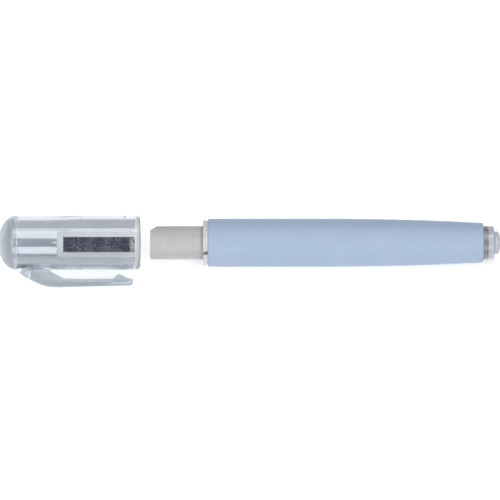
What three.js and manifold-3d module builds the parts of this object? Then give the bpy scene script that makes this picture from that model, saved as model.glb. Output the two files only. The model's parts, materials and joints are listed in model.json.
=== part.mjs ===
// Lens cleaning pen: a push-button collet holder for a round cleaning rod, with a clear cap.
//
// Millimetres. X runs along the pen, from the cap towards the tail button, and the origin is the
// centre of the cleaning rod's front face. Every piece is drawn with the clip towards -Y and the
// cap's dressing pad facing +Z. The whole pen is then rolled about X, until it lies on its cap and
// on the edge of its clip, with +Z up.

import * as THREE from 'three';
import { mergeVertices } from 'three/addons/utils/BufferGeometryUtils.js';
import Module from 'manifold-3d';

const wasm = await Module();
wasm.setup();

const DEG = Math.PI / 180;

// ---- Driving dimensions -------------------------------------------------------------------

const SIDES = 48; // facets of every round piece, so that nested pieces' facets line up
const ROLL = 25.5 * DEG; // the roll that rests the pen on its cap and its clip's edge
const FIT = 0.1; // radial gap between pieces that touch or slide
const SPLIT = 0.3; // gap at the root of a flexing finger or arm

const ROD_RADIUS = 4.93;
const ROD_LENGTH = 45;
const ROD_WEAR_LENGTH = 1.95; // the slanted worn edge at the rod's tip
const ROD_WEAR_DEPTH = 1.18;

const COLLET_FRONT = 15.8;
const COLLET_HEAD_RADIUS = 6.94;
const COLLET_SLOPE = 0.262; // fall of the conical head's radius per mm of length
const COLLET_SLIT = 1.2;
const COLLET_SLIT_ANGLE = -29.4 * DEG; // the first slit, from the pad's direction; three in all
const JAW_COUNT = 3;
const FINGER_RADIUS = 5.65;
const FINGER_ROOT = 34;

const BARREL_FRONT = 17.25;
const BARREL_REAR = 99.75;
const BARREL_RADIUS = 7.19;
const BARREL_REAR_RADIUS = 5.9;
const BARREL_TAPER_START = 47;
const BARREL_TAPER_POWER = 2.4;
const BARREL_TAPER_STEPS = 9;
const BARREL_CHAMFER_LENGTH = 0.4;
const BARREL_CHAMFER_DEPTH = 0.3;
const BARREL_BORE = 5.95;
const BARREL_SHOULDER = 75; // where the bore narrows for the button
const BARREL_REAR_BORE = 5.2;

const TUBE_RADIUS = 5.85;
const TUBE_BORE = 5.05;
const TUBE_BORE_END = 61.2;
const TUBE_BODY_END = 62.5;
const TUBE_NECK_END = 65;
const STEM_RADIUS = 3.2;
const STEM_END = 98.6;

const BUSH_LENGTH = 2.9;

const BUTTON_FRONT = 92;
const BUTTON_REAR = 103.1;
const BUTTON_RADIUS = 5.05;
const BUTTON_BEVEL_LENGTH = 0.35;
const BUTTON_BEVEL_DEPTH = 0.9;
const PLUG_SOCKET_START = 101.3;
const PLUG_FLANGE_RADIUS = 4.0;
const PLUG_BOSS_RADIUS = 3.42;
const PLUG_END = 104.85;
const PLUG_DOME_LENGTH = 0.9;
const PLUG_FLAT_RADIUS = 1.2;

const SPRING_RADIUS = 4.2;
const SPRING_WIRE = 0.35; // radius of the wire
const SPRING_TURNS = 8;

const CAP_END = -45.15;
const CAP_MOUTH = -3.15;
const CAP_RADIUS = 8.2;
const CAP_DOME_RADIUS = 6.4;
const CAP_DOME_CENTRE = [6.3, 2.1]; // distance from the cap's end, and from the axis
const CAP_MOUTH_BEVEL_LENGTH = 0.8;
const CAP_MOUTH_BEVEL_DEPTH = 0.7;
const CAP_BORE = 7.3;
const CAP_CHAMBER_BORE = 6.8;
const CAP_CHAMBER_END = -41.4;
const CAP_CHAMBER_CORNER = 1.6;
const CAP_FLARE = [-30.5, -18.5];
const CAP_BEAD_CENTRE = -7.65;
const CAP_BEAD_HEIGHT = 0.05;
const CAP_BEAD_LENGTH = 0.7;

const FRAME_ENDS = [-27.7, -4.05]; // the flat-topped frame that holds the dressing pad
const FRAME_HALF_WIDTH = 3.75;
const FRAME_TOP = 8.4;
const FRAME_ROLL = 4 * DEG; // the frame leans this far towards the clip
const POCKET_ENDS = [-25.95, -4.5];
const POCKET_HALF_WIDTH = 2.35;
const POCKET_FLOOR = 7.55;
const BACKING_THICKNESS = 0.2;
const NAP_END = -5.95;
const NAP_TOP = 8.38;

const CLIP_HALF_WIDTH = 2.75;
const CLIP_WEDGE_HALF_WIDTH = 2.5;
const CLIP_RIB_HALF_WIDTH = 1.5;
const CLIP_OUTSIDE = -13.4; // Y of the arm's outer face, at its root
const CLIP_TIP_OUTSIDE = -12.9; // and near its free end
const CLIP_INSIDE = -11.45; // Y of the arm's inner face, beside the rib
const CLIP_RIB = -10.75; // Y of the flat top of the rib along the arm
const CLIP_SPLIT = -26.45; // where the arm leaves its gusset and begins to flex
const CLIP_END = -5.25;
const CLIP_ROOT = -7.6; // Y inside the cap's wall, where the clip is moulded on
const CLIP_HOOK = [-9.45, -9.3]; // the hook's point, nearest to the cap
const CLIP_CURVE_STEPS = 6;

// ---- Materials ----------------------------------------------------------------------------

const LOOKS = {
  clear: { color: 0xb9c2cc, roughness: 0.08, metalness: 0, transparent: true, opacity: 0.4 },
  barrel: { color: 0xa9bede, roughness: 0.4, metalness: 0 },
  collet: { color: 0xdfe1e6, roughness: 0.35, metalness: 0 },
  rod: { color: 0xc9c7c9, roughness: 0.8, metalness: 0 },
  nap: { color: 0x53586a, roughness: 1, metalness: 0 },
  backing: { color: 0xc9cbc8, roughness: 0.9, metalness: 0 },
  button: { color: 0x8b919c, roughness: 0.3, metalness: 0 },
  plug: { color: 0xd3d7df, roughness: 0.35, metalness: 0 },
  bush: { color: 0xe8e8e6, roughness: 0.5, metalness: 0 },
  spring: { color: 0xc4c6ca, roughness: 0.3, metalness: 1 },
};

function material(look) {
  return new THREE.MeshStandardMaterial(LOOKS[look]);
}

// ---- Solids -------------------------------------------------------------------------------

/** Six times the signed volume of a triangle mesh: negative when its faces point inwards. */
function signedVolume(positions, triangles) {
  const corner = (i) => new THREE.Vector3().fromArray(positions, triangles[i] * 3);
  let total = 0;
  for (let i = 0; i < triangles.length; i += 3) {
    total += corner(i).dot(corner(i + 1).cross(corner(i + 2)));
  }
  return total;
}

/** A closed geometry as a solid, with its faces turned out whichever way it was drawn. */
function solid(geometry) {
  const bare = geometry.clone();
  bare.deleteAttribute('normal');
  bare.deleteAttribute('uv');
  const merged = mergeVertices(bare);
  const positions = merged.attributes.position.array;
  const index = merged.index.array;
  const triangles = [];
  for (let i = 0; i < index.length; i += 3) {
    const [a, b, c] = index.slice(i, i + 3);
    if (a !== b && b !== c && c !== a) triangles.push(a, b, c);
  }
  if (signedVolume(positions, triangles) < 0) triangles.reverse();
  const mesh = new wasm.Mesh({
    numProp: 3,
    vertProperties: new Float32Array(positions),
    triVerts: new Uint32Array(triangles),
  });
  return new wasm.Manifold(mesh);
}

/** A solid as a named mesh of the scene. */
function piece(name, shape, look) {
  const { vertProperties, triVerts } = shape.getMesh();
  const geometry = new THREE.BufferGeometry();
  geometry.setAttribute('position', new THREE.BufferAttribute(vertProperties, 3));
  geometry.setIndex(new THREE.BufferAttribute(triVerts, 1));
  geometry.computeVertexNormals();
  const mesh = new THREE.Mesh(geometry, material(look));
  mesh.name = name;
  return mesh;
}

/** Turns a profile of [x, radius] points about the X axis. */
function revolve(profile) {
  const points = profile.map(([x, radius]) => new THREE.Vector2(radius, x));
  const geometry = new THREE.LatheGeometry(points, SIDES);
  geometry.rotateZ(-Math.PI / 2);
  return solid(geometry);
}

/** A tube wall: the outside profile forwards, then the inside profile back to the start. */
function revolveWall(outside, inside) {
  return revolve([...outside, ...inside.toReversed(), outside[0]]);
}

/** A straight-sided outline in the X-Y plane. */
function polygon(points) {
  return new THREE.Shape(points.map(([x, y]) => new THREE.Vector2(x, y)));
}

/** An outline in the X-Y plane, given a width to both sides of that plane. */
function plate(shape, halfWidth) {
  const geometry = new THREE.ExtrudeGeometry(shape, {
    depth: 2 * halfWidth,
    bevelEnabled: false,
    curveSegments: CLIP_CURVE_STEPS,
  });
  geometry.translate(0, 0, -halfWidth);
  return solid(geometry);
}

/** A box from its ends in X, its half width in Y and its low and high Z, leaning with the frame. */
function leaningBox(ends, halfWidth, low, high) {
  const geometry = new THREE.BoxGeometry(ends[1] - ends[0], 2 * halfWidth, high - low);
  geometry.translate((ends[0] + ends[1]) / 2, 0, (low + high) / 2);
  geometry.rotateX(FRAME_ROLL);
  return solid(geometry);
}

/** Points of a curve y = f(x), from one x to another, both ends included. */
function curvePoints(from, to, steps, height) {
  const points = [];
  for (let i = 0; i <= steps; i += 1) {
    const x = from + ((to - from) * i) / steps;
    points.push([x, height(x)]);
  }
  return points;
}

/** Points of an arc about a centre in the profile plane, from one angle to another. */
function arcPoints([x, radius], size, from, to, steps) {
  return curvePoints(from, to, steps, () => 0).map(([angle]) => [
    x - size * Math.cos(angle),
    radius + size * Math.sin(angle),
  ]);
}

// ---- Cap ----------------------------------------------------------------------------------

/** The domed outside of the cap, from its flat end to its bevelled mouth. */
function capOutside() {
  const [back, up] = CAP_DOME_CENTRE;
  const start = Math.acos(back / CAP_DOME_RADIUS);
  const end = Math.asin((CAP_RADIUS - up) / CAP_DOME_RADIUS);
  return [
    [CAP_END, 0],
    ...arcPoints([CAP_END + back, up], CAP_DOME_RADIUS, start, end, 8),
    [CAP_MOUTH - CAP_MOUTH_BEVEL_LENGTH, CAP_RADIUS],
    [CAP_MOUTH, CAP_RADIUS - CAP_MOUTH_BEVEL_DEPTH],
  ];
}

/** The stepped bore: a chamber for the rod, a flare, and a wide bore with a snap bead. */
function capInside() {
  const corner = CAP_CHAMBER_CORNER;
  const cornerCentre = [CAP_CHAMBER_END + corner, CAP_CHAMBER_BORE - corner];
  return [
    [CAP_CHAMBER_END, 0],
    ...arcPoints(cornerCentre, corner, 0, Math.PI / 2, 3),
    [CAP_FLARE[0], CAP_CHAMBER_BORE],
    [CAP_FLARE[1], CAP_BORE],
    [CAP_BEAD_CENTRE - CAP_BEAD_LENGTH, CAP_BORE],
    [CAP_BEAD_CENTRE, CAP_BORE - CAP_BEAD_HEIGHT],
    [CAP_BEAD_CENTRE + CAP_BEAD_LENGTH, CAP_BORE],
    [CAP_MOUTH, CAP_BORE],
  ];
}

/** The wedge on the dome, in front of the clip's strap. */
function clipWedge() {
  const outline = polygon([[-40.35, -8.05], [-36.95, -10.85], [-36.2, CLIP_ROOT], [-40.1, CLIP_ROOT]]);
  return plate(outline, CLIP_WEDGE_HALF_WIDTH);
}

/** The strap's fixed stretch, which curves out of the cap and levels off. */
function clipRootStrap(end) {
  const outline = new THREE.Shape();
  outline.moveTo(-36.6, CLIP_ROOT);
  outline.lineTo(-36.45, -10.75);
  outline.quadraticCurveTo(-32.2, CLIP_OUTSIDE, -28.6, CLIP_OUTSIDE);
  outline.lineTo(end, CLIP_OUTSIDE);
  outline.lineTo(end, CLIP_INSIDE);
  outline.lineTo(-28.7, CLIP_INSIDE);
  outline.quadraticCurveTo(-32.4, -11.1, -35.9, CLIP_ROOT);
  outline.closePath();
  return plate(outline, CLIP_HALF_WIDTH);
}

/** The thin gusset that ties the strap to the cap, and runs on into the arm's rib. */
function clipGusset(end) {
  const outline = new THREE.Shape();
  outline.moveTo(-36.2, CLIP_ROOT);
  outline.quadraticCurveTo(-32.4, -11.7, -28.7, -11.8);
  outline.lineTo(end, -11.8);
  outline.lineTo(end, -10.45);
  outline.lineTo(-30.2, -8.4);
  outline.lineTo(-30.2, CLIP_ROOT);
  outline.closePath();
  return plate(outline, CLIP_RIB_HALF_WIDTH);
}

/** The clip's root, up to where its arm begins to flex. */
function clipRoot() {
  const end = CLIP_SPLIT - SPLIT / 2;
  return clipRootStrap(end).add(clipWedge()).add(clipGusset(end));
}

/** The clear cap, with the pad's frame on its side and the root of its clip below. */
function capShell() {
  const outside = revolve([...capOutside(), [CAP_MOUTH, 0]]);
  const inside = revolve([...capInside(), [CAP_MOUTH + SPLIT, CAP_BORE], [CAP_MOUTH + SPLIT, 0]]);
  const frame = leaningBox(FRAME_ENDS, FRAME_HALF_WIDTH, CAP_BORE / 2, FRAME_TOP);
  const pocket = leaningBox(POCKET_ENDS, POCKET_HALF_WIDTH, POCKET_FLOOR, FRAME_TOP + FIT);
  return outside.add(frame).add(clipRoot()).subtract(inside).subtract(pocket);
}

/** The clip's arm: a flat strap with a rib along its inside, and a hook at its free end. */
function clipArm() {
  const start = CLIP_SPLIT + SPLIT / 2;
  const strap = new THREE.Shape();
  strap.moveTo(start, CLIP_OUTSIDE);
  strap.lineTo(-6.6, CLIP_TIP_OUTSIDE);
  strap.quadraticCurveTo(CLIP_END, -12.85, CLIP_END, -11.8);
  strap.quadraticCurveTo(CLIP_END, -10.75, -5.95, CLIP_RIB);
  strap.lineTo(-6.65, CLIP_RIB);
  strap.lineTo(...CLIP_HOOK);
  strap.lineTo(-11.1, -10.55);
  strap.lineTo(-11.3, CLIP_INSIDE);
  strap.lineTo(start, CLIP_INSIDE);
  strap.closePath();
  const rib = polygon([
    [start, CLIP_INSIDE - FIT],
    [-11, CLIP_INSIDE - FIT],
    [-11.25, CLIP_RIB],
    [start, CLIP_RIB],
  ]);
  return plate(strap, CLIP_HALF_WIDTH).add(plate(rib, CLIP_RIB_HALF_WIDTH));
}

/** The strip's backing, at the bottom of the pocket. */
function padBacking() {
  const low = POCKET_FLOOR + FIT;
  const ends = [POCKET_ENDS[0] + FIT, POCKET_ENDS[1] - FIT];
  return leaningBox(ends, POCKET_HALF_WIDTH - FIT, low, low + BACKING_THICKNESS);
}

/** The strip's dark nap, which stops short of the backing's end. */
function dressingPad() {
  const low = POCKET_FLOOR + BACKING_THICKNESS + 2 * FIT;
  const ends = [POCKET_ENDS[0] + FIT, NAP_END];
  return leaningBox(ends, POCKET_HALF_WIDTH - FIT, low, NAP_TOP);
}

// ---- Barrel -------------------------------------------------------------------------------

/** The barrel's outer radius behind the point where it starts to taper. */
function taperRadius(x) {
  const share = (x - BARREL_TAPER_START) / (BARREL_REAR - BARREL_TAPER_START);
  return BARREL_RADIUS - (BARREL_RADIUS - BARREL_REAR_RADIUS) * share ** BARREL_TAPER_POWER;
}

/** Radius of the collet's conical head at x. */
function headRadius(x) {
  return COLLET_HEAD_RADIUS - (x - COLLET_FRONT) * COLLET_SLOPE;
}

/** The barrel: a long tube whose mouth is the collet's conical seat. */
function barrel() {
  const seatEnd = COLLET_FRONT + (COLLET_HEAD_RADIUS + FIT - BARREL_BORE) / COLLET_SLOPE;
  const outside = [
    [BARREL_FRONT, BARREL_RADIUS - BARREL_CHAMFER_DEPTH],
    [BARREL_FRONT + BARREL_CHAMFER_LENGTH, BARREL_RADIUS],
    ...curvePoints(BARREL_TAPER_START, BARREL_REAR, BARREL_TAPER_STEPS, taperRadius),
  ];
  const inside = [
    [BARREL_FRONT, headRadius(BARREL_FRONT) + FIT],
    [seatEnd, BARREL_BORE],
    [BARREL_SHOULDER, BARREL_BORE],
    [BARREL_SHOULDER, BARREL_REAR_BORE],
    [BARREL_REAR, BARREL_REAR_BORE],
  ];
  return revolveWall(outside, inside);
}

/** The bush that guides the stem and holds the spring's front end. */
function rearBush() {
  const rear = BARREL_SHOULDER - FIT;
  const front = rear - BUSH_LENGTH;
  const outer = BARREL_BORE - FIT;
  const inner = STEM_RADIUS + FIT;
  return revolveWall([[front, outer], [rear, outer]], [[front, inner], [rear, inner]]);
}

// ---- Chuck --------------------------------------------------------------------------------

/** The blind tube behind the fingers, with the stem that carries the button. */
function chuckTube() {
  const front = FINGER_ROOT + SPLIT;
  return revolve([
    [front, TUBE_BORE],
    [front, TUBE_RADIUS],
    [TUBE_BODY_END, TUBE_RADIUS],
    [TUBE_NECK_END, STEM_RADIUS],
    [STEM_END, STEM_RADIUS],
    [STEM_END, 0],
    [TUBE_BORE_END, 0],
    [TUBE_BORE_END, TUBE_BORE],
    [front, TUBE_BORE],
  ]);
}

/** The collet before it is slit: a conical head on a thin sleeve. */
function colletSleeve() {
  const headEnd = COLLET_FRONT + (COLLET_HEAD_RADIUS - FINGER_RADIUS) / COLLET_SLOPE;
  const grip = ROD_RADIUS + FIT;
  return revolveWall(
    [[COLLET_FRONT, COLLET_HEAD_RADIUS], [headEnd, FINGER_RADIUS], [FINGER_ROOT, FINGER_RADIUS]],
    [[COLLET_FRONT, grip], [FINGER_ROOT, grip]],
  );
}

/** A wedge between two slits, long enough to cut one finger from the sleeve. */
function fingerSector(middle) {
  const half = Math.PI / JAW_COUNT;
  const reach = 3 * COLLET_HEAD_RADIUS;
  const apex = COLLET_SLIT / 2 / Math.sin(half);
  const at = (distance, angle) => [
    apex * Math.sin(middle) + distance * Math.sin(angle),
    apex * Math.cos(middle) + distance * Math.cos(angle),
  ];
  const far = [middle - half, middle, middle + half].map((angle) => at(reach, angle));
  const shape = polygon([at(0, middle), ...far]);
  const length = FINGER_ROOT - COLLET_FRONT + 2 * SPLIT;
  const geometry = new THREE.ExtrudeGeometry(shape, { depth: length, bevelEnabled: false });
  const [along, side, front] = [[1, 0, 0], [0, 1, 0], [0, 0, 1]].map((v) => new THREE.Vector3(...v));
  geometry.applyMatrix4(new THREE.Matrix4().makeBasis(side, front, along));
  geometry.translate(COLLET_FRONT - SPLIT, 0, 0);
  return solid(geometry);
}

/** One finger of the collet: the sleeve between two slits. */
function jaw(number) {
  const turn = (2 * Math.PI) / JAW_COUNT;
  const middle = COLLET_SLIT_ANGLE + (number - 0.5) * turn;
  return colletSleeve().intersect(fingerSector(middle));
}

/** The smoky push button on the end of the stem. */
function tailButton() {
  const socket = PLUG_FLANGE_RADIUS + FIT;
  const stemHole = STEM_RADIUS + FIT;
  const holeEnd = STEM_END + FIT;
  return revolve([
    [BUTTON_FRONT, stemHole],
    [BUTTON_FRONT, BUTTON_RADIUS],
    [BUTTON_REAR - BUTTON_BEVEL_LENGTH, BUTTON_RADIUS],
    [BUTTON_REAR, BUTTON_RADIUS - BUTTON_BEVEL_DEPTH],
    [BUTTON_REAR, socket],
    [PLUG_SOCKET_START, socket],
    [PLUG_SOCKET_START, 0],
    [holeEnd, 0],
    [holeEnd, stemHole],
    [BUTTON_FRONT, stemHole],
  ]);
}

/** The pale plug pressed into the button, whose round boss stands out of the tail. */
function tailPlug() {
  const bossEnd = PLUG_END - PLUG_DOME_LENGTH;
  const fall = PLUG_BOSS_RADIUS - PLUG_FLAT_RADIUS;
  const domeRadius = (x) => PLUG_FLAT_RADIUS + fall * Math.sqrt((PLUG_END - x) / PLUG_DOME_LENGTH);
  return revolve([
    [PLUG_SOCKET_START + FIT, 0],
    [PLUG_SOCKET_START + FIT, PLUG_FLANGE_RADIUS],
    [BUTTON_REAR, PLUG_FLANGE_RADIUS],
    [BUTTON_REAR + FIT, PLUG_BOSS_RADIUS],
    ...curvePoints(bossEnd, PLUG_END, 4, domeRadius),
    [PLUG_END, 0],
  ]);
}

/** The centre line of the spring's wire. */
class Helix extends THREE.Curve {
  getPoint(share, target = new THREE.Vector3()) {
    const margin = SPRING_WIRE + FIT;
    const from = BARREL_SHOULDER + margin;
    const to = BUTTON_FRONT - margin;
    const angle = 2 * Math.PI * SPRING_TURNS * share;
    const y = SPRING_RADIUS * Math.cos(angle);
    const z = SPRING_RADIUS * Math.sin(angle);
    return target.set(from + (to - from) * share, y, z);
  }
}

/** The spring that draws the collet back into its seat. */
function returnSpring() {
  const section = new THREE.Shape().absarc(0, 0, SPRING_WIRE, 0, 2 * Math.PI);
  const stepsPerTurn = 18;
  const geometry = new THREE.ExtrudeGeometry(section, {
    steps: SPRING_TURNS * stepsPerTurn,
    curveSegments: 3,
    extrudePath: new Helix(),
  });
  return solid(geometry);
}

// ---- Cleaning rod -------------------------------------------------------------------------

/** The cleaning rod, with one side of its tip worn to a slant. */
function cleaningRod() {
  const rod = revolve([[0, 0], [0, ROD_RADIUS], [ROD_LENGTH, ROD_RADIUS], [ROD_LENGTH, 0]]);
  const slope = ROD_WEAR_DEPTH / ROD_WEAR_LENGTH;
  const edge = ROD_RADIUS - ROD_WEAR_DEPTH;
  const beyond = [2 * ROD_WEAR_LENGTH, edge + 2 * ROD_WEAR_DEPTH];
  const worn = polygon([[-1, edge - slope], beyond, [-1, 2 * ROD_RADIUS]]);
  return rod.subtract(plate(worn, ROD_RADIUS + 1));
}

// ---- Assembly -----------------------------------------------------------------------------

const pen = new THREE.Group();
pen.rotation.x = ROLL;

pen.add(piece('cap_shell', capShell(), 'clear'));
pen.add(piece('pocket_clip', clipArm(), 'clear'));
pen.add(piece('dressing_pad', dressingPad(), 'nap'));
pen.add(piece('pad_backing', padBacking(), 'backing'));
pen.add(piece('barrel', barrel(), 'barrel'));
pen.add(piece('rear_bush', rearBush(), 'bush'));
pen.add(piece('chuck_tube', chuckTube(), 'collet'));
for (let number = 1; number <= JAW_COUNT; number += 1) {
  pen.add(piece(`jaw_${number}`, jaw(number), 'collet'));
}
pen.add(piece('return_spring', returnSpring(), 'spring'));
pen.add(piece('tail_button', tailButton(), 'button'));
pen.add(piece('tail_plug', tailPlug(), 'plug'));
pen.add(piece('cleaning_rod', cleaningRod(), 'rod'));

export default pen;
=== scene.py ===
"""The looks of the lens cleaning pen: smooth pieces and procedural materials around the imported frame.

Sizes here are in millimetres in the pen's own frame: X along the pen, the clip towards -Y and the
dressing pad facing +Z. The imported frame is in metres, and the pen lies rolled about X in it. PEN
takes one to the other.
"""

import json
import math
import random

import bmesh
import bpy
from mathutils import Matrix, Vector

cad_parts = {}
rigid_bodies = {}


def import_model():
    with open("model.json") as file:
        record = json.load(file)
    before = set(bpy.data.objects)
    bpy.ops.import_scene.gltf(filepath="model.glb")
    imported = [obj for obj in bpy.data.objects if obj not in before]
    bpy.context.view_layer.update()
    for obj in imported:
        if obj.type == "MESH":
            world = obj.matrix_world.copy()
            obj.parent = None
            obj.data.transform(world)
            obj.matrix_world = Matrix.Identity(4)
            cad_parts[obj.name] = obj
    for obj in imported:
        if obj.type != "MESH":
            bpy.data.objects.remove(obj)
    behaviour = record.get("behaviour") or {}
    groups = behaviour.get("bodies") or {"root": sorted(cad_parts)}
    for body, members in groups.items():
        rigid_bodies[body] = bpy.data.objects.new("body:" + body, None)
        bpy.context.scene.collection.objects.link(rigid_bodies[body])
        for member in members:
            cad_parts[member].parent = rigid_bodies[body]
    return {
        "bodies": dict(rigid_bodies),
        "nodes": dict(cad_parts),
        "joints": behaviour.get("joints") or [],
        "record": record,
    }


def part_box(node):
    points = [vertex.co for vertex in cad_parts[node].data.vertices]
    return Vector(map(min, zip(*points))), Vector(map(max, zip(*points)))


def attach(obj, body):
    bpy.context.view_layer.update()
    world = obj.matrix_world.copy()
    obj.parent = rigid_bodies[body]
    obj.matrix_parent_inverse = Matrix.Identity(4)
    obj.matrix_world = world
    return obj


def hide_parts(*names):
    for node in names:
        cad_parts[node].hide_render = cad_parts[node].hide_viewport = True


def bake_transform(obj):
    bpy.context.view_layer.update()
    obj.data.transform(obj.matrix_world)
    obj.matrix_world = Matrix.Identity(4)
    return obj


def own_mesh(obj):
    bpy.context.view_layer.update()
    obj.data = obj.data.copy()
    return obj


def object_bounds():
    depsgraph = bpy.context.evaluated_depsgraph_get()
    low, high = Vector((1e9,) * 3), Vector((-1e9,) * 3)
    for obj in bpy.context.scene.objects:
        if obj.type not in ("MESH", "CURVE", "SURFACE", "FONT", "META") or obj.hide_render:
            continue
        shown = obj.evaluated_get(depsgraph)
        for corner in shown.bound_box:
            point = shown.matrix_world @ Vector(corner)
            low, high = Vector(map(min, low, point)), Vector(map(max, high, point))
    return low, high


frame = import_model()
cad_low, cad_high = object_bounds()

MM = 0.001
ROLL = math.radians(25.5)
PEN = Matrix.Rotation(ROLL, 4, "X") @ Matrix.Scale(MM, 4)


def span(node):
    """Where a CAD node starts and ends along the pen, in millimetres."""
    low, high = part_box(node)
    return low.x / MM, high.x / MM


# ---- Driving dimensions --------------------------------------------------------------------

SIDES = 128  # round the revolved pieces
SUPPORT = 1.4  # a support point's distance from its corner, in lengths of the fillet
CAP_END, CAP_MOUTH = span("cap_shell")
CAP_RADIUS = 8.19
CAP_DRAFT = 0.13
CAP_DOME_RADIUS = 6.4
CAP_DOME_BACK = 6.3
CAP_DOME_UP = 2.1
CAP_BORE = 7.3
CHAMBER_BORE = 6.8
CHAMBER_END = -41.4
CHAMBER_CORNER = 1.6
FLARE_START = -30.5
FLARE_END = -20.9
BORE_STEP = 0.03
BEAD_CENTRE = -7.65
BEAD_HEIGHT = 0.06
BEAD_LENGTH = 0.35
MOUTH_BEVEL = (0.8, 0.7)
MOUTH_LEAD_IN = 0.08
WEDGE_HALF_WIDTH = 2.5

FRAME_ENDS = (-27.7, -4.05)
FRAME_HALF_WIDTH = 3.75
FRAME_TOP = 8.39
FRAME_LEAN = math.radians(4)
POCKET_ENDS = (-25.95, -4.5)
POCKET_HALF_WIDTH = 2.35
POCKET_FLOOR = 7.55
NAP_ENDS = span("dressing_pad")
BACKING_ENDS = span("pad_backing")
STRIP_HALF_WIDTH = 2.25
NAP_HALF_WIDTH = 2.16
BACKING_TOP = 7.85
NAP_BASE = 7.9
NAP_TOP = 8.36
NAP_FIBRES = 5200
NAP_SEED = 7

CLIP_HALF_WIDTH = 2.72
RIB_HALF_WIDTH = 1.5
CLIP_OUTSIDE = -13.38
CLIP_TIP_OUTSIDE = -12.88
CLIP_INSIDE = -11.45
CLIP_RIB = -10.75
CLIP_ROOT = -7.6
CLIP_HOOK = (-9.45, -9.32)
CLIP_END = span("pocket_clip")[1]

BARREL_FRONT, BARREL_REAR = span("barrel")
BARREL_RADIUS = 7.18
BARREL_REAR_RADIUS = 5.9
BARREL_TAPER_START = 47.0
BARREL_TAPER_POWER = 2.4
BARREL_BORE = 5.95
BARREL_SHOULDER = 75.0
BARREL_REAR_BORE = 5.2
FIT = 0.1

COLLET_FRONT, FINGER_ROOT = span("jaw_1")
HEAD_RADIUS = 6.94
HEAD_SLOPE = 0.262
FINGER_RADIUS = 5.65
GRIP_RADIUS = 5.03
SLIT = 1.2
SLIT_ANGLE = -29.4
JAWS = 3

ROD_LENGTH = span("cleaning_rod")[1]
ROD_RADIUS = 4.93
WEAR_LENGTH = 1.95
WEAR_DEPTH = 1.18

TUBE_FRONT, STEM_END = span("chuck_tube")
TUBE_RADIUS = 5.85
TUBE_BORE = 5.05
TUBE_BORE_END = 61.2
TUBE_BODY_END = 62.5
TUBE_NECK_END = 65.0
STEM_RADIUS = 3.2
BUTTON_FRONT, BUTTON_REAR = span("tail_button")
BUTTON_RADIUS = 5.04
SOCKET_START = 101.3
FLANGE_RADIUS = 4.0
BUTTON_CHAMFER = (0.35, 0.85)
BOSS_RADIUS = 3.42
BOSS_DOME_LENGTH = 0.9
BOSS_FLAT_RADIUS = 1.2
PLUG_END = span("tail_plug")[1]
BUSH_ENDS = span("rear_bush")
SPRING_RADIUS = 4.2
SPRING_WIRE = 0.35
SPRING_TURNS = 8

# Where a finish starts and where it is complete. The frame's is a height above the pen's axis, and
# the others are places along the pen.
DOME_FROST = (-40.6, -41.5)
MOUTH_FROST = (-4.5, -4.35)
FRAME_FROST = (8.24, 8.3)
BUTTON_BAND = (100.6, 101.4)
# How far along the rod the painted shadow of the collet reaches, in millimetres.
ROD_SHADE_LENGTH = 1.4

# The studio. Distances are in metres unless they say otherwise.
CAMERA_DISTANCE = 1.4
SENSOR_WIDTH = 36  # mm
VIEW_WIDTH = 0.150
VIEW_CENTRE_X = 29.85  # mm along the pen
VIEW_CENTRE_DROP = 2.2  # mm towards the clip
LAMP_DISTANCE = 1000  # mm from the pen
LAMP_LENGTH = 0.6
FLOOR_HALF_SIZE = 3
FLOOR_GAP = 0.00002


# ---- Mesh helpers --------------------------------------------------------------------------


def rounded(corners, closed=False, step=15.0):
    """A profile from (x, y, fillet radius) corners, with an arc at each corner that has a radius.

    A support point stays beside each arc, so that smooth shading keeps the flats flat."""
    points = []
    count = len(corners)
    for i, (x, y, fillet) in enumerate(corners):
        here = Vector((x, y))
        ends = not closed and i in (0, count - 1)
        if fillet <= 0 or ends:
            points.append(here)
            continue
        before = Vector(corners[i - 1][:2]) - here
        after = Vector(corners[(i + 1) % count][:2]) - here
        back = before.normalized()
        onward = after.normalized()
        half = math.acos(max(-1.0, min(1.0, back.dot(onward)))) / 2
        if half > math.radians(88):
            points.append(here)
            continue
        reach = min(fillet / math.tan(half), 0.46 * before.length, 0.46 * after.length)
        size = reach * math.tan(half)
        centre = here + (back + onward).normalized() * (size / math.sin(half))
        turn = math.pi - 2 * half
        steps = max(2, round(math.degrees(turn) / step))
        start = here + back * reach - centre
        sign = 1 if start.cross(here + onward * reach - centre) > 0 else -1
        if before.length > 3 * reach:
            points.append(here + back * reach * SUPPORT)
        for k in range(steps + 1):
            angle = sign * turn * k / steps
            along, across = math.cos(angle), math.sin(angle)
            x_out = along * start.x - across * start.y
            y_out = across * start.x + along * start.y
            points.append(centre + Vector((x_out, y_out)))
        if after.length > 3 * reach:
            points.append(here + onward * reach * SUPPORT)
    return points


def bezier(p0, p1, p2, steps):
    """Points of a quadratic curve, without its first point."""
    points = []
    for i in range(1, steps + 1):
        t = i / steps
        one = (1 - t) * (1 - t)
        two = 2 * t * (1 - t)
        three = t * t
        points.append(tuple(one * a + two * b + three * c for a, b, c in zip(p0, p1, p2)))
    return points


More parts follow.
